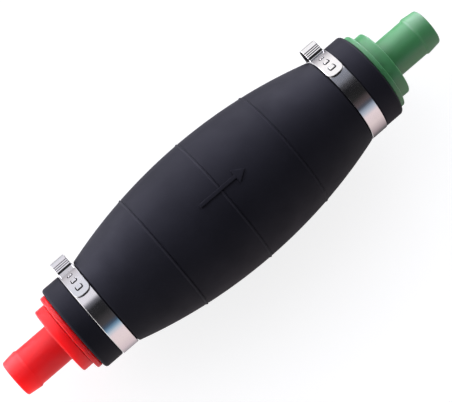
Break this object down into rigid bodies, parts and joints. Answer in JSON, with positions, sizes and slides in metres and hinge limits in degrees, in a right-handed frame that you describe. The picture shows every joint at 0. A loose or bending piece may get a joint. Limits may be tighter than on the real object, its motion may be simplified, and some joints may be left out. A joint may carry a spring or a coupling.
{
  "type": "siphon bulb pump",
  "caption": "Hand-squeezed rubber siphon bulb with a one-way valve and barbed hose nozzle in each end, red inlet and green outlet, held by steel ear clamps.",
  "frame": {"origin": "middle of the bulb, on its axis", "axes": "+X along the axis in the direction of flow, from the red inlet to the green outlet; +Z through the side with the flow arrow; both clamps' ears are towards +Y"},
  "size_m": [0.25, 0.0678, 0.0678],
  "materials": {
    "bulb_rubber": "matte black moulded rubber",
    "inlet_plastic": "satin red moulded plastic",
    "outlet_plastic": "satin green moulded plastic",
    "valve_plastic": "natural white acetal",
    "seal_rubber": "black nitrile",
    "spring_steel": "drawn stainless wire",
    "clamp_steel": "polished stainless steel strip"
  },
  "bodies": {
    "root": {"bulb_body": "bulb_rubber", "inlet_nozzle": "inlet_plastic", "inlet_valve_body": "inlet_plastic", "inlet_nozzle_o_ring": "seal_rubber", "inlet_valve_seat": "valve_plastic", "inlet_valve_spring": "spring_steel", "inlet_valve_cage": "valve_plastic", "inlet_clamp": "clamp_steel", "outlet_nozzle": "outlet_plastic", "outlet_valve_body": "outlet_plastic", "outlet_nozzle_o_ring": "seal_rubber", "outlet_valve_seat": "valve_plastic", "outlet_valve_spring": "spring_steel", "outlet_valve_cage": "valve_plastic", "outlet_clamp": "clamp_steel"},
    "wall_left": {"bulb_wall_left": "bulb_rubber"},
    "wall_right": {"bulb_wall_right": "bulb_rubber"},
    "inlet_poppet": {"inlet_valve_poppet": "valve_plastic", "inlet_poppet_seal": "seal_rubber"},
    "outlet_poppet": {"outlet_valve_poppet": "valve_plastic", "outlet_poppet_seal": "seal_rubber"}
  },
  "joints": [
    {"name": "squeeze_left", "type": "slide", "parent": "root", "child": "wall_left", "axis": [0, -1, 0], "range_m": [0, 0.012], "stiffness_N_per_m": 2500},
    {"name": "squeeze_right", "type": "slide", "parent": "root", "child": "wall_right", "axis": [0, 1, 0], "range_m": [0, 0.012], "stiffness_N_per_m": 2500},
    {"name": "inlet_poppet_lift", "type": "slide", "parent": "root", "child": "inlet_poppet", "axis": [1, 0, 0], "range_m": [0, 0.0035], "stiffness_N_per_m": 120, "springref_m": -0.003, "deforming": ["inlet_valve_spring"]},
    {"name": "outlet_poppet_lift", "type": "slide", "parent": "root", "child": "outlet_poppet", "axis": [1, 0, 0], "range_m": [0, 0.0035], "stiffness_N_per_m": 120, "springref_m": -0.003, "deforming": ["outlet_valve_spring"]}
  ],
  "couplings": [
    {"joint": "squeeze_right", "follows": "squeeze_left", "ratio": 1}
  ]
}
